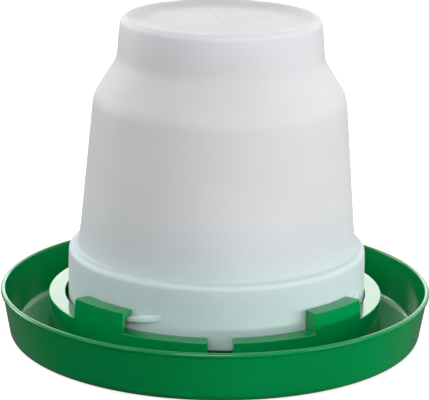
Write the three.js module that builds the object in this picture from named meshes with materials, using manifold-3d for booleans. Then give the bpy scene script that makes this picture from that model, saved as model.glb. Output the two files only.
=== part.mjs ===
// Poultry waterer fount: a tray with a ring and four lock hooks, and a jar that stands mouth down in it.
// Millimetres, +Z up. The origin is the centre of the tray's underside and the water outlet faces -Y.
import * as THREE from "three";
import { mergeVertices } from "three/addons/utils/BufferGeometryUtils.js";
import Module from "manifold-3d";

const wasm = await Module();
wasm.setup();

// ---- Driving dimensions ----
const SIDES = 64; // flats round every turned surface

const TRAY = {
  floor: 2.4, // thickness of the floor
  wall: 2.2, // thickness of the outer wall and of the ring's walls
  footRadius: 128.3, // where the flat underside ends
  wallRadiusLow: 134.5, // outer wall where the foot's rounding ends
  wallRadiusHigh: 138.8, // outer wall under the lip
  footRound: 6.2,
  troughRound: 4, // between the trough floor and the outer wall
  lipRadius: 140,
  lipInnerRadius: 137.2,
  lipHeight: 2.6,
  rimHeight: 33.2,
};

const RING = {
  outerRadius: 108.7, // at the ledge
  footRadius: 109.6, // at the trough floor
  innerRadius: 98.1,
  height: 29.1, // the flat ledge
  seatHeight: 19.4, // the shelf that the jar's mouth stands on
  seatInnerRadius: 85.6,
  wellRadius: 84.8,
  edge: 0.5, // broken edges
};

const OUTLET = { width: 15.5, angles: [0, 180] }; // degrees from the front

const HOOK = {
  count: 4,
  openEnd: 33.7, // degrees from the outlet to the open end
  closedEnd: 56.7, // degrees from the outlet to the closed end
  endWall: 1.9, // degrees
  height: 12.8, // above the ledge
  outerRadiusLow: 108.4,
  outerRadiusHigh: 107.3,
  wall: 3.4,
  lipRadius: 97.5, // how far in the lip reaches
  lipThickness: 3.7,
};

const JAR = {
  wall: 1.8,
  mouthHeight: 19.7,
  rimHeight: 3.9, // the thickened mouth rim
  rimOuterRadius: 96.3,
  rimInnerRadius: 93.1,
  collarRadius: 96.7,
  collarStraight: 20, // how far the collar rises before it narrows
  collarTopRadius: 96.3,
  collarTop: 60.8,
  collarRound: 4.2,
  bodyRadiusLow: 90.6,
  bodyRadiusHigh: 82.4,
  bodyTop: 153,
  shoulderRound: 10,
  neckRadiusLow: 67.3,
  neckBottom: 182.8,
  neckRadiusHigh: 65,
  neckTop: 203,
  crestRadius: 60.2,
  top: 211,
  dishRadius: 48,
  dishRound: 10.5, // width of the slope into the recess
  dishDepth: 2.4, // of the recess in the closed end
  dishCrown: 0.4, // how far the recess rises again in the middle
};

const LUG = {
  count: 4,
  start: 21.5, // degrees from the outlet to the high end
  end: 53.4, // degrees from the outlet to the low end
  height: 3.6,
  radius: 100.5, // crest
  rise: 0.1745, // millimetres for each degree, the pitch of the quarter-turn lock
  topAtHook: 37.7, // height of its upper side at the hook's open end
  taper: 5, // degrees over which each end runs out
  stop: 31.8, // degrees from the outlet to the shoulder that meets the hook's open end
  stopHeight: 0.9,
};

const GAP = 0.3; // between parts that touch

// ---- Geometry helpers ----
const radians = THREE.MathUtils.degToRad;
const point = (r, z) => new THREE.Vector2(r, z);

// A closed position-only geometry as a solid, without the triangles that collapse on the axis.
function solid(geometry) {
  const bare = new THREE.BufferGeometry();
  bare.setAttribute("position", geometry.getAttribute("position"));
  if (geometry.index) bare.setIndex(geometry.index);
  const merged = mergeVertices(bare, 1e-4);
  const index = merged.index.array;
  const triangles = [];
  for (let i = 0; i < index.length; i += 3) {
    const [a, b, c] = [index[i], index[i + 1], index[i + 2]];
    if (a !== b && b !== c && c !== a) triangles.push(a, b, c);
  }
  return new wasm.Manifold(
    new wasm.Mesh({
      numProp: 3,
      vertProperties: merged.attributes.position.array,
      triVerts: new Uint32Array(triangles),
    }),
  );
}

// A profile of (radius, height) points turned round +Z.
function turned(profile) {
  return solid(new THREE.LatheGeometry(profile, SIDES).rotateX(Math.PI / 2));
}

// The same as turned, for a profile that doesn't start and end on the axis: it closes on itself.
function turnedRing(profile) {
  return turned([...profile, profile[0]]);
}

// A closed section swept round +Z through part of a turn. The angles are degrees counted clockwise, seen
// from above, from the front. sectionAt(angle) gives the section's points, in anticlockwise order.
function sweptSector(from, to, steps, sectionAt) {
  const positions = [];
  const index = [];
  const count = sectionAt(from).length;
  for (let step = 0; step <= steps; step++) {
    const angle = from + ((to - from) * step) / steps;
    const turn = radians(270 - angle);
    for (const p of sectionAt(angle)) positions.push(p.x * Math.cos(turn), p.x * Math.sin(turn), p.y);
  }
  for (let step = 0; step < steps; step++) {
    for (let k = 0; k < count; k++) {
      const a = step * count + k;
      const b = step * count + ((k + 1) % count);
      index.push(a, b, a + count, b, b + count, a + count);
    }
  }
  const last = steps * count;
  for (const [a, b, c] of THREE.ShapeUtils.triangulateShape(sectionAt(from), [])) {
    index.push(a, c, b);
    index.push(last + a, last + b, last + c);
  }
  const geometry = new THREE.BufferGeometry();
  geometry.setAttribute("position", new THREE.Float32BufferAttribute(positions, 3));
  geometry.setIndex(index);
  return solid(geometry);
}

// A sector with straight sides: radii from inner to outer, heights from low to high.
function blockSector(from, to, inner, outer, low, high) {
  const section = [point(inner, low), point(outer, low), point(outer, high), point(inner, high)];
  return sweptSector(from, to, Math.ceil((to - from) / (360 / SIDES)) + 1, () => section);
}

// Points on a quarter-turn rounding from one point to another, whose tangents meet at the corner.
function rounding(from, corner, to, steps) {
  return new THREE.QuadraticBezierCurve(from, corner, to).getPoints(steps);
}

function quarterTurns(count) {
  return Array.from({ length: count }, (_, i) => (i * 360) / count);
}

function mesh(name, made, material) {
  const { vertProperties, triVerts } = made.getMesh();
  const geometry = new THREE.BufferGeometry();
  geometry.setAttribute("position", new THREE.BufferAttribute(vertProperties, 3));
  geometry.setIndex(new THREE.BufferAttribute(triVerts, 1));
  geometry.computeVertexNormals();
  const result = new THREE.Mesh(geometry, material);
  result.name = name;
  return result;
}

// ---- Base: tray, trough, ring and hooks, one moulding ----
function trayProfile() {
  const t = TRAY;
  const r = RING;
  const lipBottom = t.rimHeight - t.lipHeight;
  const innerWallHigh = t.lipInnerRadius - 0.4;
  const innerWallLow = t.wallRadiusLow - t.wall + 0.3;
  return [
    point(0, 0),
    ...rounding(
      point(t.footRadius, 0),
      point(t.wallRadiusLow - 0.6, 0),
      point(t.wallRadiusLow, t.footRound),
      4,
    ),
    point(t.wallRadiusHigh, lipBottom - 0.8),
    ...rounding(
      point(t.lipRadius - 0.3, lipBottom),
      point(t.lipRadius, lipBottom),
      point(t.lipRadius, lipBottom + 0.6),
      1,
    ),
    point(t.lipRadius, t.rimHeight - 0.8),
    point(t.lipRadius - 0.6, t.rimHeight),
    point(t.lipInnerRadius + 0.5, t.rimHeight),
    point(t.lipInnerRadius, t.rimHeight - 0.5),
    point(innerWallHigh, lipBottom - 0.8),
    ...rounding(
      point(innerWallLow, t.floor + t.troughRound),
      point(innerWallLow - 0.6, t.floor),
      point(innerWallLow - t.troughRound - 0.6, t.floor),
      4,
    ),
    point(r.footRadius + 1, t.floor),
    point(r.footRadius, t.floor + 1),
    point(r.outerRadius, r.height - r.edge),
    point(r.outerRadius - r.edge, r.height),
    point(r.innerRadius + r.edge, r.height),
    point(r.innerRadius, r.height - r.edge),
    point(r.innerRadius, r.seatHeight),
    point(r.seatInnerRadius + r.edge, r.seatHeight),
    point(r.seatInnerRadius, r.seatHeight - r.edge),
    point(r.wellRadius, t.floor),
    point(0, t.floor),
  ];
}

// One hook, counted from the front in the direction that locks the jar.
function hook(turn) {
  const h = HOOK;
  const top = RING.height + h.height;
  const slotTop = top - h.lipThickness;
  const rooted = RING.height - 1;
  const edge = 0.5;
  const section = [
    point(h.lipRadius, rooted),
    point(h.outerRadiusLow, rooted),
    point(h.outerRadiusHigh, top - edge),
    point(h.outerRadiusHigh - edge, top),
    point(h.lipRadius + edge, top),
    point(h.lipRadius, top - edge),
  ];
  const body = sweptSector(turn + h.openEnd, turn + h.closedEnd, 6, () => section);
  const slot = blockSector(
    turn + h.openEnd - 3,
    turn + h.closedEnd - h.endWall,
    h.lipRadius - 3,
    h.outerRadiusLow - h.wall,
    RING.height,
    slotTop,
  );
  return body.subtract(slot);
}

// The hollow under the ring, open below, that keeps the moulding's walls even.
function ringHollow(from, to) {
  const inside = TRAY.wall;
  const under = blockSector(
    from,
    to,
    RING.innerRadius + inside,
    RING.outerRadius - inside,
    -1,
    RING.height - inside,
  );
  const underSeat = blockSector(
    from,
    to,
    RING.seatInnerRadius + inside,
    RING.innerRadius + inside + 1,
    -1,
    RING.seatHeight - inside,
  );
  return under.add(underSeat);
}

function outletCut(turn) {
  const inner = RING.wellRadius - 3;
  const outer = RING.footRadius + 1.2;
  const height = RING.height - TRAY.floor + 5;
  const cut = new THREE.BoxGeometry(OUTLET.width, outer - inner, height);
  cut.translate(0, -(inner + outer) / 2, TRAY.floor + height / 2);
  return solid(cut.rotateZ(radians(-turn)));
}

function base() {
  let made = turned(trayProfile());
  for (const turn of quarterTurns(HOOK.count)) made = made.add(hook(turn));
  const well = turnedRing([
    point(RING.innerRadius - 4, RING.seatHeight + 1),
    point(RING.innerRadius, RING.seatHeight + 1),
    point(RING.innerRadius, RING.height),
    point(RING.innerRadius - 4, RING.height),
  ]);
  made = made.subtract(well);
  const outletHalf = THREE.MathUtils.radToDeg((OUTLET.width / 2 + TRAY.wall) / RING.seatInnerRadius);
  for (const turn of OUTLET.angles) {
    made = made.subtract(ringHollow(turn + outletHalf, turn + 180 - outletHalf));
    made = made.subtract(outletCut(turn));
  }
  return made;
}

// ---- Jar: collar, body, shoulders and closed end, one moulding ----
// The jar's outline from the top of the collar to the dish, moved inwards by offset. detail scales how
// many flats each rounding has.
function jarOutline(offset, detail) {
  const j = JAR;
  const flats = (count) => Math.ceil(count * detail);
  const shoulderHeight = j.bodyTop + 4;
  const shoulderRadius = j.bodyRadiusHigh - 0.35 - offset;
  const shoulderSlope = (j.bodyRadiusHigh - j.neckRadiusLow) / (j.neckBottom - shoulderHeight);
  const shoulderEnd = j.shoulderRound / 2;
  const collarTop = j.collarTop - offset;
  const collarEdge = j.collarTopRadius - offset;
  const bodyFoot = j.bodyRadiusLow - offset;
  const neckFoot = j.neckRadiusLow - offset;
  const crestHeight = j.top - offset;
  const dishEdge = j.dishRadius - offset;
  return [
    ...rounding(
      point(collarEdge, collarTop - j.collarRound),
      point(collarEdge, collarTop),
      point(collarEdge - j.collarRound, collarTop),
      flats(3),
    ),
    point(bodyFoot + 0.8, collarTop + 0.3),
    point(bodyFoot, collarTop + 1.2),
    ...rounding(
      point(j.bodyRadiusHigh - offset, j.bodyTop),
      point(shoulderRadius, shoulderHeight),
      point(shoulderRadius - shoulderEnd * shoulderSlope, shoulderHeight + shoulderEnd),
      flats(3),
    ),
    ...rounding(
      point(neckFoot + 1.6, j.neckBottom - 2.6),
      point(neckFoot, j.neckBottom),
      point(neckFoot - 0.35, j.neckBottom + 3),
      flats(2),
    ),
    ...rounding(
      point(j.neckRadiusHigh - offset, j.neckTop - offset),
      point(j.neckRadiusHigh - offset - 0.8, crestHeight),
      point(j.crestRadius - offset, crestHeight),
      flats(4),
    ),
    ...rounding(
      point(dishEdge + j.dishRound, crestHeight),
      point(dishEdge + j.dishRound / 2, crestHeight),
      point(dishEdge, crestHeight - j.dishDepth),
      flats(3),
    ),
  ];
}

function jarProfile() {
  const j = JAR;
  const bottom = j.mouthHeight + j.rimHeight + GAP;
  const straight = bottom + j.collarStraight;
  const dish = j.top - j.dishDepth + j.dishCrown;
  return [
    point(j.collarRadius - j.wall, bottom),
    point(j.collarRadius, bottom),
    point(j.collarRadius, straight),
    ...jarOutline(0, 1),
    point(0, dish),
    point(0, dish - j.wall),
    ...jarOutline(j.wall, 0.5).reverse(),
    point(j.collarRadius - j.wall, straight),
  ];
}

// One inclined lug. It runs out into the collar at both ends, and its high end is thicker as a stop.
function lug(turn) {
  const l = LUG;
  const root = JAR.collarRadius - 1;
  return sweptSector(turn + l.start, turn + l.end, 20, (angle) => {
    const along = angle - turn;
    const fromEnd = Math.min(along - l.start, l.end - along, l.taper) / l.taper;
    const crest = THREE.MathUtils.lerp(JAR.collarRadius + 0.4, l.radius, Math.sqrt(Math.max(fromEnd, 0)));
    const slope = l.topAtHook - (along - HOOK.openEnd) * l.rise;
    const top = along < l.stop ? slope + l.stopHeight : slope;
    return [
      point(root, slope - l.height),
      point(crest, slope - l.height + 0.5),
      point(crest, top - 0.4),
      point(root, top),
    ];
  });
}

function jar() {
  let made = turnedRing(jarProfile());
  for (const turn of quarterTurns(LUG.count)) made = made.add(lug(turn));
  return made;
}

function mouthRim() {
  const j = JAR;
  const high = j.mouthHeight + j.rimHeight;
  const edge = 0.7;
  return turnedRing([
    point(j.rimInnerRadius + edge, j.mouthHeight),
    point(j.rimOuterRadius - edge, j.mouthHeight),
    point(j.rimOuterRadius, j.mouthHeight + edge),
    point(j.rimOuterRadius, high),
    point(j.rimInnerRadius + edge, high),
    point(j.rimInnerRadius, high - edge),
    point(j.rimInnerRadius, j.mouthHeight + edge),
  ]);
}

// ---- Assembly ----
const greenPlastic = () => new THREE.MeshStandardMaterial({ color: 0x007a3d, roughness: 0.25, metalness: 0 });
const whitePlastic = () => new THREE.MeshStandardMaterial({ color: 0xd4d6d6, roughness: 0.5, metalness: 0 });

const waterer = new THREE.Group();
waterer.add(mesh("base_tray", base(), greenPlastic()));
waterer.add(mesh("jar_mouth_rim", mouthRim(), whitePlastic()));
waterer.add(mesh("jar_shell", jar(), whitePlastic()));

export default waterer;
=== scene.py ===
"""A poultry waterer fount: a green tray with lock hooks, and a white jar that stands mouth down in it."""
import math

import bmesh
import bpy
from mathutils import Matrix, Vector


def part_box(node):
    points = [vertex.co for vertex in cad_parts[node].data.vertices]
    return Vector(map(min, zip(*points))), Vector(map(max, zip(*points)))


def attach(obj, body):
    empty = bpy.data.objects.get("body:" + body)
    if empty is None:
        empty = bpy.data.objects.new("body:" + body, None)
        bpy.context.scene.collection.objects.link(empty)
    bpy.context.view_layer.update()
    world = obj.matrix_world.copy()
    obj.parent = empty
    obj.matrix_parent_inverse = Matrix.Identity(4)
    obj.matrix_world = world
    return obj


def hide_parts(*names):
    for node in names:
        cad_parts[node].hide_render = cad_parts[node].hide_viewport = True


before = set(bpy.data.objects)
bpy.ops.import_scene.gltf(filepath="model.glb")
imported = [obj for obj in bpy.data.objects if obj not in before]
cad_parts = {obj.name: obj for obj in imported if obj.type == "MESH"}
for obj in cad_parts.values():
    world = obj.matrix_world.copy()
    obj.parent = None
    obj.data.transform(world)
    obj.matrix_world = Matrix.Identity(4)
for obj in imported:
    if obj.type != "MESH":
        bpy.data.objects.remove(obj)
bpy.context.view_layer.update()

MM = 0.001
tray_low, tray_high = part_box("base_tray")
shell_low, shell_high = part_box("jar_shell")
mouth_low, mouth_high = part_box("jar_mouth_rim")

# ---- Driving dimensions, in millimetres. Angles are degrees clockwise, seen from above, from the front ----
LIP_RADIUS = (tray_high[0] - tray_low[0]) / 2 / MM
HOOK_TOP = tray_high[2] / MM
JAR_TOP = shell_high[2] / MM
MOUTH_HEIGHT = mouth_low[2] / MM
COLLAR_RADIUS = (shell_high[0] - shell_low[0]) / 2 / MM

RIM_HEIGHT = 33.2
LIP_HEIGHT = 2.7
LIP_WIDTH = 2.8
LIP_OUTER_ROUND = 1.6
LIP_INNER_ROUND = 1.1
FLOOR = 2.4
WALL = 2.2
WALL_TOP_RADIUS = LIP_RADIUS - 1.2
WALL_FOOT_RADIUS = LIP_RADIUS - 6.3
FOOT_ROUND = 6.2
TROUGH_RADIUS = WALL_FOOT_RADIUS - WALL + 0.6
TROUGH_ROUND = 6.0
EDGE_ROUND = 0.5

RING_OUTER = 108.7
RING_FOOT = 109.6
RING_FOOT_ROUND = 1.2
TROUGH_INNER = RING_FOOT + 1.5
RING_INNER = 98.1
LEDGE = 29.1
SEAT = 19.4
SEAT_INNER = 85.6
WELL = 84.6
WELL_ROUND = 1.2
WELL_FLOOR = WELL - 2.5
HUB = 6.0
OUTLET_HALF = 7.75
OUTLET_HALF_ANGLE = math.degrees(OUTLET_HALF / RING_OUTER)
OUTLETS = (0, 180)
HOLLOW_END = 6.7

HOOK_OPEN = 33.7
HOOK_SLOT_END = 54.8
HOOK_CLOSED = 56.7
HOOK_OUTER_TOP = 107.4
HOOK_WALL_INNER = 104.9
HOOK_LIP_INNER = 97.6
HOOK_LIP_BOTTOM = HOOK_TOP - 3.7

JAR_WALL = 1.8
COLLAR_TOP = 60.8
COLLAR_TOP_RADIUS = COLLAR_RADIUS - 0.4
COLLAR_ROUND = 3.3
LUGS_HIGHEST = 48.0
LUGS_LOWEST = 23.0
BODY_FOOT = 90.6
BODY_FOOT_HEIGHT = COLLAR_TOP + 0.3
BODY_FOOT_ROUND = 2.1
SHOULDER, SHOULDER_HEIGHT, SHOULDER_ROUND = 81.8, 159.8, 22.0
NECK_FOOT, NECK_FOOT_HEIGHT, NECK_FOOT_ROUND = 67.3, 183.1, 15.5
NECK_TOP, NECK_TOP_ROUND = 64.3, 4.2
CREST, CREST_ROUND = 61.5, 2.2
DISH, DISH_DEPTH, DISH_ROUND = 47.0, 2.8, 45.0
DISH_MIDDLE_DEPTH = 2.4
MOUTH_WIDTH = 3.6
MOUTH_HEIGHT_INSIDE = 4.2
MOUTH_ROUND = 1.2
ASIDE = 0.8
LEAN = 1.0
NARROWER = 0.45
UNEVEN = 0.16
LUG_START, LUG_END = 21.5, 53.4
LUG_HALF_HEIGHT = 1.8
LUG_CREST = 100.5
LUG_RISE = 0.1745
LUG_TOP_AT_HOOK = 37.7
LUG_TAPER = 9.0
LUG_STOP = 31.8
LUG_STOP_HEIGHT = 0.9
LUG_MARGIN = 2.0
LUG_MIDDLE_ANGLE = (LUG_START + LUG_END) / 2
LUG_MIDDLE = LUG_TOP_AT_HOOK - LUG_HALF_HEIGHT - (LUG_MIDDLE_ANGLE - HOOK_OPEN) * LUG_RISE
PINCH_ANGLE = 169.5
PINCH_HEIGHT = 0.30
PINCH_HALF_WIDTH = 0.45
# The two sink marks in the closed end: depth, how far left of and in front of the axis, and spread.
SINK_MARKS = ((0.35, -24, -4, 90), (0.30, -12, 16, 60))


# ---- Mesh helpers ----
def fillet_path(corners):
    """A polyline with its corners rounded. Each corner is (radius, height, rounding, steps)."""
    path = [(corners[0][0], corners[0][1])]
    for before, corner, after in zip(corners, corners[1:], corners[2:]):
        at = Vector(corner[:2])
        rounding, steps = corner[2:]
        if not rounding:
            path.append(tuple(at))
            continue
        back = (Vector(before[:2]) - at).normalized()
        on = (Vector(after[:2]) - at).normalized()
        half = back.angle(on) / 2
        start = at + back * rounding / math.tan(half)
        centre = at + (back + on).normalized() * rounding / math.sin(half)
        sweep = math.pi - 2 * half
        side = 1 if back.x * on.y - back.y * on.x < 0 else -1
        for step in range(steps + 1):
            turn = Matrix.Rotation(side * sweep * step / steps, 2)
            path.append(tuple(centre + turn @ (start - centre)))
    path.append((corners[-1][0], corners[-1][1]))
    return path


def divided(path, longest):
    """The same path with its long stretches divided."""
    result = [path[0]]
    for a, b in zip(path, path[1:]):
        count = max(1, math.ceil(math.dist(a, b) / longest))
        for k in range(1, count + 1):
            result.append((a[0] + (b[0] - a[0]) * k / count, a[1] + (b[1] - a[1]) * k / count))
    return result


def around(angle, radius, height):
    """The point in metres at an angle clockwise from the front."""
    turn = math.radians(270 - angle)
    return Vector((radius * math.cos(turn), radius * math.sin(turn), height)) * MM


def smooth(x):
    """0 below 0, 1 above 1, and a soft step between."""
    x = min(max(x, 0.0), 1.0)
    return x * x * (3 - 2 * x)


def new_object(name, bm, material):
    bmesh.ops.recalc_face_normals(bm, faces=bm.faces)
    mesh = bpy.data.meshes.new(name)
    bm.to_mesh(mesh)
    bm.free()
    for polygon in mesh.polygons:
        polygon.use_smooth = True
    mesh.materials.append(material)
    obj = bpy.data.objects.new(name, mesh)
    bpy.context.scene.collection.objects.link(obj)
    return obj


# ---- Base moulding ----
def keyed(prefix, path):
    """The path's points with a name each, so that neighbouring sections can share them."""
    return [((prefix, k), r, z) for k, (r, z) in enumerate(path)]


OUTSIDE = keyed("outside", divided(fillet_path([
    (RING_OUTER - WALL, 0, 0, 0),
    (WALL_FOOT_RADIUS, 0, FOOT_ROUND, 8),
    (WALL_TOP_RADIUS, RIM_HEIGHT - LIP_HEIGHT - 0.5, 0.3, 2),
    (LIP_RADIUS, RIM_HEIGHT - LIP_HEIGHT + 0.2, EDGE_ROUND, 3),
    (LIP_RADIUS, RIM_HEIGHT, LIP_OUTER_ROUND, 7),
    (LIP_RADIUS - LIP_WIDTH, RIM_HEIGHT, LIP_INNER_ROUND, 5),
    (TROUGH_RADIUS, FLOOR, TROUGH_ROUND, 8),
    (TROUGH_INNER, FLOOR, 0, 0),
]), 12))
RING_WALL = keyed("ring_wall", fillet_path([
    (TROUGH_INNER, FLOOR, 0, 0),
    (RING_FOOT, FLOOR, RING_FOOT_ROUND, 3),
    (RING_OUTER, LEDGE, 0, 0),
]))[1:-1]
INSIDE = keyed("inside", fillet_path([
    (RING_INNER, LEDGE, 0, 0),
    (RING_INNER - 0.3, SEAT, EDGE_ROUND, 2),
    (SEAT_INNER, SEAT, 0.6, 3),
    (WELL, FLOOR, WELL_ROUND, 3),
    (WELL_FLOOR, FLOOR, 0, 0),
]))[1:-1]
CENTRE = keyed("centre", divided([(WELL_FLOOR, FLOOR), (HUB, FLOOR)], 20)) + [("axis_top", 0, FLOOR)]
UNDER = [("axis_under", 0, 0)] + keyed("under", divided([(HUB, 0), (SEAT_INNER + WALL, 0)], 20))
HOLLOW = keyed("hollow", [
    (SEAT_INNER + WALL, SEAT - WALL),
    (RING_INNER + WALL, SEAT - WALL),
    (RING_INNER + WALL, LEDGE - WALL),
    (RING_OUTER - WALL, LEDGE - WALL),
])
LEDGE_OUT = ("ledge_out", RING_OUTER, LEDGE)
LEDGE_MID = ("ledge_mid", HOOK_WALL_INNER, LEDGE)
LEDGE_IN = ("ledge_in", RING_INNER, LEDGE)
TOP_OUT = ("hook_top_out", HOOK_OUTER_TOP, HOOK_TOP)
TOP_IN = ("hook_top_in", HOOK_LIP_INNER, HOOK_TOP)
LIP_IN = ("hook_lip_in", HOOK_LIP_INNER + 0.1, HOOK_LIP_BOTTOM)
LIP_OUT = ("hook_lip_out", HOOK_WALL_INNER, HOOK_LIP_BOTTOM)


def from_outlet(angle):
    """How many degrees an angle is away from the nearest outlet."""
    return min(abs((angle - outlet + 180) % 360 - 180) for outlet in OUTLETS)


def stretch_kind(angle):
    """What the base's section holds at an angle: outlet, rib, slot, wall or plain."""
    if from_outlet(angle) < OUTLET_HALF_ANGLE:
        return "outlet"
    if from_outlet(angle) < HOLLOW_END:
        return "rib"
    along = angle % 90
    if HOOK_OPEN < along < HOOK_SLOT_END:
        return "slot"
    if HOOK_SLOT_END < along < HOOK_CLOSED:
        return "wall"
    return "plain"


def base_section(kind):
    """The closed outline of the base's section, from the axis outwards below and back above."""
    below = UNDER + ([] if kind in ("outlet", "rib") else HOLLOW) + OUTSIDE
    if kind == "outlet":
        return below + CENTRE
    crown = {
        "slot": [LEDGE_OUT, TOP_OUT, TOP_IN, LIP_IN, LIP_OUT, LEDGE_MID, LEDGE_IN],
        "wall": [LEDGE_OUT, TOP_OUT, TOP_IN, LIP_IN, LEDGE_IN],
    }.get(kind, [LEDGE_OUT, LEDGE_MID, LEDGE_IN])
    return below + RING_WALL + crown + INSIDE + CENTRE


def base_angles():
    """The section angles. An outlet's sides are marked, because they are flat and parallel."""
    edges = []
    for outlet in OUTLETS:
        edges += [(outlet - HOLLOW_END) % 360, (outlet + HOLLOW_END) % 360]
    for quarter in range(0, 360, 90):
        edges += [quarter + HOOK_OPEN, quarter + HOOK_SLOT_END, quarter + HOOK_CLOSED]
    angles = [(a, None) for a in edges]
    for outlet in OUTLETS:
        angles += [((outlet + side * OUTLET_HALF_ANGLE) % 360, (outlet, side)) for side in (-1, 1)]
        angles += [((outlet + a) % 360, None) for a in (-2, 0, 2)]
    for a in range(360):
        if from_outlet(a) >= HOLLOW_END + 0.8 and min(abs(a - edge) for edge in edges) > 0.45:
            angles.append((a, None))
    return sorted(angles)


def base_point(angle, flat, radius, height):
    """A point of the base. flat names the outlet and the side whose flat face it lies on, or is None."""
    if flat is None:
        return around(angle, radius, height)
    outlet, side = flat
    reach = min(max(radius, WELL - 3), RING_FOOT + 2)
    return around(outlet + side * math.degrees(math.asin(OUTLET_HALF / reach)), radius, height)


def build_base(material):
    bm = bmesh.new()
    angles = base_angles()
    made = {}

    def vertex(index, point):
        key, radius, height = point
        place = key if key in ("axis_top", "axis_under") else (index % len(angles), key)
        if place not in made:
            angle, flat = angles[index % len(angles)]
            made[place] = bm.verts.new(base_point(angle, flat, radius, height))
        return made[place]

    kinds = []
    for i, (angle, _) in enumerate(angles):
        following = angles[(i + 1) % len(angles)][0] + (360 if i + 1 == len(angles) else 0)
        kinds.append(stretch_kind((angle + following) / 2))
    for i, kind in enumerate(kinds):
        section = base_section(kind)
        for a, b in zip(section, section[1:]):
            corners = [vertex(i, a), vertex(i, b), vertex(i + 1, b), vertex(i + 1, a)]
            bm.faces.new(list(dict.fromkeys(corners)))
        before = kinds[i - 1]
        if before != kind:
            fill_step(bm, vertex, i, before, kind)
    base = new_object("base_moulding", bm, material)
    edge = base.modifiers.new("moulded_edges", "BEVEL")
    edge.width = EDGE_ROUND * MM
    edge.segments = 3
    edge.limit_method = "ANGLE"
    edge.angle_limit = math.radians(38)
    edge.use_clamp_overlap = False
    base.modifiers.new("shading", "WEIGHTED_NORMAL").keep_sharp = True
    return base


def fill_step(bm, vertex, index, before, after):
    """The flat faces where the section changes: what one outline has past their common points."""
    longer, shorter = sorted((base_section(before), base_section(after)), key=len, reverse=True)
    if {before, after} == {"plain", "wall"}:
        face = [LEDGE_OUT, TOP_OUT, TOP_IN, LIP_IN, LEDGE_IN, LEDGE_MID]
        bm.faces.new([vertex(index, p) for p in face])
        return
    if {before, after} == {"slot", "wall"}:
        bm.faces.new([vertex(index, p) for p in [LIP_IN, LIP_OUT, LEDGE_MID, LEDGE_IN]])
        return
    common = {p[0] for p in shorter}
    for k, point in enumerate(longer):
        if point[0] in common or longer[k - 1][0] not in common:
            continue
        end = k
        while longer[end][0] not in common:
            end += 1
        bm.faces.new([vertex(index, p) for p in longer[k - 1 : end + 1]])


# ---- Jar ----
def lug_offset(angle):
    """How far the grid's rows are raised at an angle, so that they follow the inclined lugs."""
    along = angle % 90
    if along < LUG_START - LUG_MARGIN:
        along += 90
    gap_start = LUG_END + LUG_MARGIN
    gap_end = LUG_START - LUG_MARGIN + 90
    if along <= gap_start:
        return (LUG_MIDDLE_ANGLE - along) * LUG_RISE
    low = (LUG_MIDDLE_ANGLE - gap_start) * LUG_RISE
    high = (LUG_MIDDLE_ANGLE + 90 - gap_end) * LUG_RISE
    return low + (high - low) * smooth((along - gap_start) / (gap_end - gap_start))


def stop_offset(angle):
    """How much higher a lug's upper side is towards its high end, where it stops at the hook."""
    along = angle % 90
    return LUG_STOP_HEIGHT * smooth((LUG_STOP + 0.6 - along) / 1.2) * smooth((along - 10) / 8)


def lug_strength(angle):
    """How much of its full width a lug has at an angle: it fades out towards both ends."""
    along = angle % 90
    return smooth(min(along - LUG_START, LUG_END - along) / LUG_TAPER)


# The lug's section: distance from its middle as a share of its half height, and how far it stands out.
LUG_ROWS = [(-share, 0) for share in (6.0, 4.8, 3.6, 2.8, 2.1, 1.6, 1.25)]
LUG_ROWS += [(-1.06, 0.03), (-0.98, 0.18), (-0.94, 0.5), (-0.91, 0.78)]
LUG_ROWS += [(-0.84, 0.93), (-0.72, 0.99), (-0.4, 1)]
LUG_ROWS += [(0, 1)] + [(-share, stand) for share, stand in reversed(LUG_ROWS)]


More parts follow.
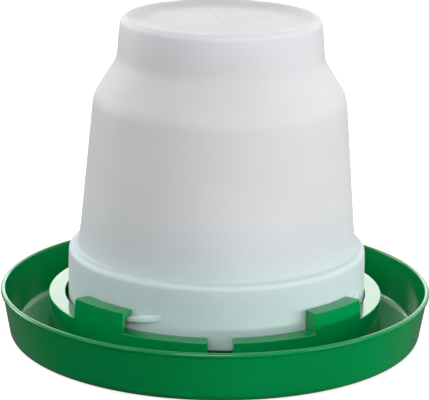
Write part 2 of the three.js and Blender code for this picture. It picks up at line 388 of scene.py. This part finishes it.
def jar_outline():
    """The jar's outer and inner outline, from the middle of the closed end down to the mouth and back up.
    Each point is (radius, height, region)."""
    top = fillet_path([
        (0, JAR_TOP - DISH_MIDDLE_DEPTH, 0, 0),
        (DISH, JAR_TOP - DISH_DEPTH, DISH_ROUND, 8),
        (CREST, JAR_TOP + 0.15, CREST_ROUND, 5),
        (NECK_TOP, JAR_TOP - 2.4, NECK_TOP_ROUND, 6),
        (NECK_FOOT, NECK_FOOT_HEIGHT, NECK_FOOT_ROUND, 6),
        (SHOULDER, SHOULDER_HEIGHT, SHOULDER_ROUND, 8),
        (BODY_FOOT, BODY_FOOT_HEIGHT, BODY_FOOT_ROUND, 5),
        (COLLAR_TOP_RADIUS, COLLAR_TOP, COLLAR_ROUND, 7),
        (COLLAR_RADIUS, LUGS_HIGHEST + 2, 0, 0),
        (COLLAR_RADIUS, LUGS_HIGHEST, 0, 0),
    ])
    outer = [(r, z, "outer") for r, z in divided(top, 3.5)]
    for share, stand in reversed(LUG_ROWS):
        outer.append((COLLAR_RADIUS, LUG_MIDDLE + share * LUG_HALF_HEIGHT, ("lug", stand)))
    mouth_inside = COLLAR_RADIUS - MOUTH_WIDTH
    inner_top = JAR_TOP - JAR_WALL
    mouth = fillet_path([
        (COLLAR_RADIUS, LUGS_LOWEST, 0, 0),
        (COLLAR_RADIUS, MOUTH_HEIGHT, MOUTH_ROUND, 5),
        (mouth_inside, MOUTH_HEIGHT, MOUTH_ROUND, 5),
        (mouth_inside, MOUTH_HEIGHT + MOUTH_HEIGHT_INSIDE, 1.0, 3),
        (COLLAR_RADIUS - JAR_WALL, MOUTH_HEIGHT + MOUTH_HEIGHT_INSIDE + JAR_WALL, 1.0, 3),
        (COLLAR_RADIUS - JAR_WALL, LUGS_HIGHEST, 0, 0),
        (COLLAR_TOP_RADIUS - JAR_WALL, COLLAR_TOP - JAR_WALL, 2.6, 4),
        (BODY_FOOT - JAR_WALL, BODY_FOOT_HEIGHT - JAR_WALL, 2.0, 4),
        (SHOULDER - JAR_WALL, SHOULDER_HEIGHT - 0.4, SHOULDER_ROUND - 2, 5),
        (NECK_FOOT - JAR_WALL, NECK_FOOT_HEIGHT - 0.4, NECK_FOOT_ROUND, 5),
        (NECK_TOP - 0.1 - JAR_WALL, inner_top, 4.0, 6),
        (CREST - 4 - JAR_WALL, inner_top, 8.0, 3),
        (DISH + 2 - JAR_WALL, inner_top - DISH_MIDDLE_DEPTH, 40.0, 4),
        (0, inner_top - 2.0, 0, 0),
    ])
    return outer + [(r, z, "inner") for r, z in divided(mouth, 6)]


def uneven_body(turn, height):
    """How far the body's wall stands out at an angle in radians: slow waves, as a blown wall has."""
    wave = math.sin(2 * turn + 0.8 + height / 90) + 0.6 * math.sin(3 * turn + 2.1 - height / 60)
    wave += 0.35 * math.sin(5 * turn + height / 35)
    on_body = smooth((height - COLLAR_TOP - 2.2) / 12) * smooth((JAR_TOP - 12 - height) / 12)
    return (UNEVEN * wave - NARROWER) * on_body


def closed_end(turn, radius):
    """How far the closed end is raised at a point: two sink marks, and the scar where the tube was cut."""
    height = 0
    inside = smooth((60 - radius) / 10)
    x, y = radius * math.sin(turn), radius * math.cos(turn)
    for depth, left, front, spread in SINK_MARKS:
        height -= depth * inside * math.exp(-((x - left) ** 2 + (y - front) ** 2) / spread)
    from_scar = turn - math.radians(PINCH_ANGLE)
    scar = smooth((radius * math.cos(from_scar) + 30) / 14) * smooth((63 - radius) / 4)
    return height + PINCH_HEIGHT * scar * math.exp(-((radius * math.sin(from_scar) / PINCH_HALF_WIDTH) ** 2))


def jar_surface(angle, radius, height, region):
    """The jar's point at an angle, with its lugs, its uneven walls and the scar across its closed end."""
    turn = math.radians(angle)
    if isinstance(region, tuple):
        stand = region[1] * lug_strength(angle)
        radius += (LUG_CREST - COLLAR_RADIUS) * stand
        fade = 1 - smooth((abs(height - LUG_MIDDLE) - 3) / 8)
        upper = smooth((height - LUG_MIDDLE) / LUG_HALF_HEIGHT)
        height += (lug_offset(angle) + stop_offset(angle) * upper) * fade
    elif region == "outer" and height < JAR_TOP - 8:
        radius += uneven_body(turn, height)
    elif region == "outer":
        height = min(height + closed_end(turn, radius), JAR_TOP)
    aside = ASIDE + LEAN * smooth((height - COLLAR_TOP) / (JAR_TOP - COLLAR_TOP))
    return around(angle, radius, height) + Vector((aside * MM, 0, 0))


def build_jar(material):
    bm = bmesh.new()
    near_scar = [(PINCH_ANGLE + half + 0.3 * step) % 360 for half in (0, 180) for step in range(-3, 4)]
    angles = sorted([a for a in range(360) if min(abs(a - near) for near in near_scar) > 0.25] + near_scar)
    rings = []
    for radius, height, region in jar_outline():
        if radius == 0:
            rings.append([bm.verts.new(jar_surface(0, 0, height, region))])
        else:
            rings.append([bm.verts.new(jar_surface(a, radius, height, region)) for a in angles])
    count = len(angles)
    for upper, lower in zip(rings, rings[1:]):
        for k in range(count):
            following = (k + 1) % count
            corners = [upper[a % len(upper)] for a in (k, following)]
            corners += [lower[a % len(lower)] for a in (following, k)]
            bm.faces.new(list(dict.fromkeys(corners)))
    return new_object("jar_moulding", bm, material)


# ---- Materials ----
def node(tree, kind, inputs=None, **settings):
    """A new shader node, with values or other nodes' outputs on its inputs."""
    made = tree.nodes.new(kind)
    for name, value in settings.items():
        setattr(made, name, value)
    for name, value in (inputs or {}).items():
        if isinstance(value, bpy.types.NodeSocket):
            tree.links.new(value, made.inputs[name])
        else:
            made.inputs[name].default_value = value
    return made


def ramp_between(tree, value, start, end, low, high, interpolation="LINEAR"):
    """A value's place between start and end, as a number from low to high."""
    return node(tree, "ShaderNodeMapRange", {
        "Value": value,
        "From Min": start,
        "From Max": end,
        "To Min": low,
        "To Max": high,
    }, interpolation_type=interpolation).outputs["Result"]


def product(tree, a, b):
    made = node(tree, "ShaderNodeMath", operation="MULTIPLY")
    tree.links.new(a, made.inputs[0])
    tree.links.new(b, made.inputs[1])
    return made.outputs["Value"]


def paint_green_base_glow(tree, place, colour, painted_glow_colour, low, high):
    """The colour multiplied by a painted green glow below a height: painted light standing in for the green
    base's light bounced onto the lower wall and seen through it.
    """
    height = node(tree, "ShaderNodeSeparateXYZ", {"Vector": place}).outputs["Z"]
    return node(tree, "ShaderNodeMixRGB", {
        "Fac": ramp_between(tree, height, low * MM, high * MM, 1, 0, "SMOOTHSTEP"),
        "Color1": colour,
        "Color2": (*painted_glow_colour, 1),
    }, blend_type="MULTIPLY").outputs["Color"]


def plastic(name, colours, roughness, grain, settings, painted_glow_colour=None):
    """A moulded plastic: two close colours in slow clouds, uneven gloss and a fine surface texture.
    grain is the texture's scale, strength and depth in millimetres. tint is a painted green glow at the
    bottom, a colour standing in for the green base's light bounced onto and seen through the wall, and the
    heights in millimetres where it is full and where it has gone."""
    material = bpy.data.materials.new(name)
    material.use_nodes = True
    tree = material.node_tree
    shader = tree.nodes["Principled BSDF"]
    place = node(tree, "ShaderNodeTexCoord").outputs["Object"]
    clouds = node(tree, "ShaderNodeTexNoise", {"Vector": place, "Scale": 14.0, "Detail": 3.0})
    ramp = node(tree, "ShaderNodeValToRGB", {"Fac": clouds.outputs["Fac"]})
    for element, colour, position in zip(ramp.color_ramp.elements, colours, (0.35, 0.65)):
        element.color = (*colour, 1)
        element.position = position
    colour = ramp.outputs["Color"]
    # Painted light: a green glow multiplied into the colour towards the bottom, standing in for the green
    # base's bounce light.
    if painted_glow_colour:
        colour = paint_green_base_glow(tree, place, colour, *painted_glow_colour)
    tree.links.new(colour, shader.inputs["Base Color"])
    smears = node(tree, "ShaderNodeTexNoise", {"Vector": place, "Scale": 45.0, "Detail": 4.0})
    gloss = ramp_between(tree, smears.outputs["Fac"], 0.3, 0.7, *roughness)
    tree.links.new(gloss, shader.inputs["Roughness"])
    fine = node(tree, "ShaderNodeTexNoise", {"Vector": place, "Scale": grain[0], "Detail": 2.0})
    bump = node(tree, "ShaderNodeBump", {
        "Height": fine.outputs["Fac"],
        "Strength": grain[1],
        "Distance": grain[2] * MM,
    })
    tree.links.new(bump.outputs["Normal"], shader.inputs["Normal"])
    for socket, value in settings.items():
        shader.inputs[socket].default_value = value
    return material


green_plastic = plastic(
    "green_moulded_plastic",
    ((0.0, 0.245, 0.060), (0.0, 0.265, 0.068)),
    (0.09, 0.16),
    (900.0, 0.25, 0.02),
    {
        "IOR": 1.5,
        "Subsurface Weight": 0.4,
        "Subsurface Scale": 0.005,
        "Subsurface Radius": (0.1, 1.0, 0.4),
    },
)
white_plastic = plastic(
    "white_blown_plastic",
    ((0.735, 0.745, 0.775), (0.765, 0.775, 0.805)),
    (0.48, 0.6),
    (1400.0, 0.35, 0.03),
    {
        "IOR": 1.5,
        "Specular IOR Level": 0.3,
        "Subsurface Weight": 1.0,
        "Subsurface Scale": 0.004,
        "Subsurface Radius": (1.0, 1.0, 1.0),
    },
    # Painted light: the jar's lower part is tinted green where the green base's light would bounce onto the
    # wall and show through it.
    ((0.76, 0.90, 0.885), 46, 105),
)


# ---- Stage, light and camera ----
FLOOR_HALF = 8.0
FLOOR_GAP = 0.3 * MM


def add_floor():
    """A pale floor just under the object. It is bright by itself and lights nothing."""
    bm = bmesh.new()
    corners = ((-1, -1), (1, -1), (1, 1), (-1, 1))
    bm.faces.new([bm.verts.new((x * FLOOR_HALF, y * FLOOR_HALF, -FLOOR_GAP)) for x, y in corners])
    material = bpy.data.materials.new("pale_floor")
    material.use_nodes = True
    shader = material.node_tree.nodes["Principled BSDF"]
    shader.inputs["Base Color"].default_value = (0.55, 0.55, 0.55, 1)
    shader.inputs["Roughness"].default_value = 0.9
    shader.inputs["Emission Color"].default_value = (1, 1, 1, 1)
    shader.inputs["Emission Strength"].default_value = 0.75
    floor = new_object("studio_floor", bm, material)
    floor.visible_diffuse = False
    floor.visible_glossy = False


def add_light(name, place, target, size, power, reflected=True):
    """A soft rectangular light in metres and watts, turned towards its target."""
    data = bpy.data.lights.new(name, "AREA")
    data.shape = "RECTANGLE"
    data.size, data.size_y = size
    data.energy = power
    light = bpy.data.objects.new(name, data)
    light.location = place
    light.visible_glossy = reflected
    light.rotation_euler = (Vector(place) - Vector(target)).to_track_quat("Z", "Y").to_euler()
    bpy.context.scene.collection.objects.link(light)


def add_world():
    """A soft studio surround: a bright wall behind the object, dimmer in front and above, dark below."""
    world = bpy.data.worlds.new("studio")
    bpy.context.scene.world = world
    world.use_nodes = True
    tree = world.node_tree
    background = tree.nodes["Background"]
    direction = node(tree, "ShaderNodeTexCoord").outputs["Generated"]
    axes = node(tree, "ShaderNodeSeparateXYZ", {"Vector": direction}).outputs
    behind = ramp_between(tree, axes["Y"], 0.1, 0.6, 0, 1)
    under_top = ramp_between(tree, axes["Z"], 0.45, 0.75, 1, 0)
    wall = product(tree, behind, under_top)
    bright = ramp_between(tree, wall, 0, 1, 0.45, 1.7)
    above_floor = ramp_between(tree, axes["Z"], -0.06, 0.1, 0.07, 1)
    tree.links.new(product(tree, bright, above_floor), background.inputs["Strength"])
    background.inputs["Color"].default_value = (1, 1, 1, 1)


def add_camera():
    distance, height, aim = 1.3769, 0.4716, 0.0897
    swing = math.radians(-2.0)
    roll = math.radians(0.77)
    place = Vector((distance * math.sin(swing), -distance * math.cos(swing), height))
    look = (place - Vector((0, 0, aim))).to_track_quat("Z", "Y").to_matrix()
    data = bpy.data.cameras.new("camera")
    data.lens = 184.55
    data.sensor_width = 36.0
    data.shift_x = -0.004
    data.clip_end = 50
    camera = bpy.data.objects.new("camera", data)
    camera.matrix_world = Matrix.Translation(place) @ (look @ Matrix.Rotation(roll, 3, "Z")).to_4x4()
    bpy.context.scene.collection.objects.link(camera)
    bpy.context.scene.camera = camera


# ---- Assembly ----
add_camera()
add_world()
add_floor()
add_light("key_right", (1.2, -0.65, 0.3), (0, 0, 0.06), (0.8, 0.5), 2.8)
add_light("front_high", (-0.15, -1.35, 0.85), (0, 0, 0.08), (0.8, 0.6), 8.4)
add_light("low_bounce", (1.2, -0.75, 0.03), (0, 0, 0.05), (1.4, 0.06), 10, reflected=False)
add_light("fill_left", (-1.15, -0.75, 0.5), (0, 0, 0.12), (0.8, 0.6), 2.0)
add_light("rim_left", (-1.2, 0.7, 0.35), (0, 0, 0.12), (0.6, 0.6), 5)
add_light("back_panel", (-0.1, 1.6, 0.5), (0, 0, 0.05), (1.3, 0.35), 2.8)

base = build_base(green_plastic)
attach(base, "base")
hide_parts("base_tray")

jar = build_jar(white_plastic)
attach(jar, "jar")
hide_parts("jar_shell", "jar_mouth_rim")

bpy.context.scene.view_settings.view_transform = "Standard"
